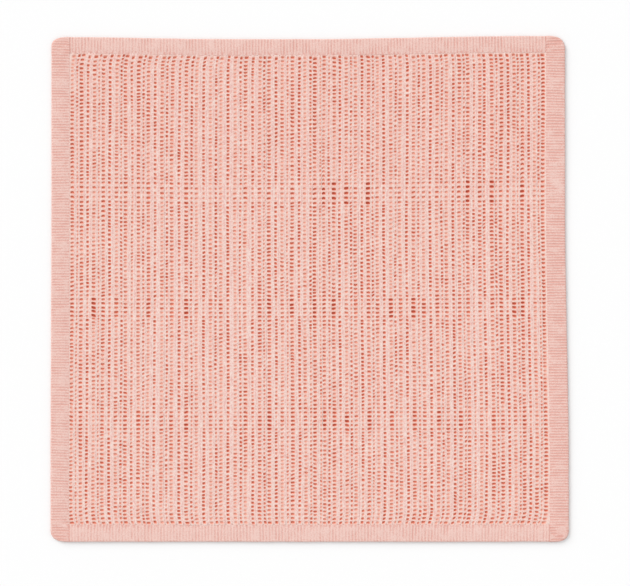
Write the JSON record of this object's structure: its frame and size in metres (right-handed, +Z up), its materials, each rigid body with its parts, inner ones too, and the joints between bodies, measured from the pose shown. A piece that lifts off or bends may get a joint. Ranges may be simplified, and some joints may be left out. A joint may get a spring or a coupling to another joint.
{
  "type": "cellular baby blanket",
  "caption": "Square cellular knit baby blanket lying open and flat, with sunken columns of blind cells and a folded rib binding on every side.",
  "frame": {"origin": "on the surface that the blanket lies on, under the middle of its outline", "axes": "+X across the blanket, +Y along the columns of cells towards the top binding, +Z up out of the ridged face"},
  "size_m": [0.7548, 0.7366, 0.0042],
  "materials": {
    "cellular_knit": "soft coral pink cotton knit with open cells",
    "rib_binding": "fine coral pink cotton rib knit, matte"
  },
  "bodies": {
    "root": {"cellular_panel": "cellular_knit", "binding_left": "rib_binding", "binding_right": "rib_binding", "binding_top": "rib_binding", "binding_bottom": "rib_binding"}
  },
  "joints": []
}
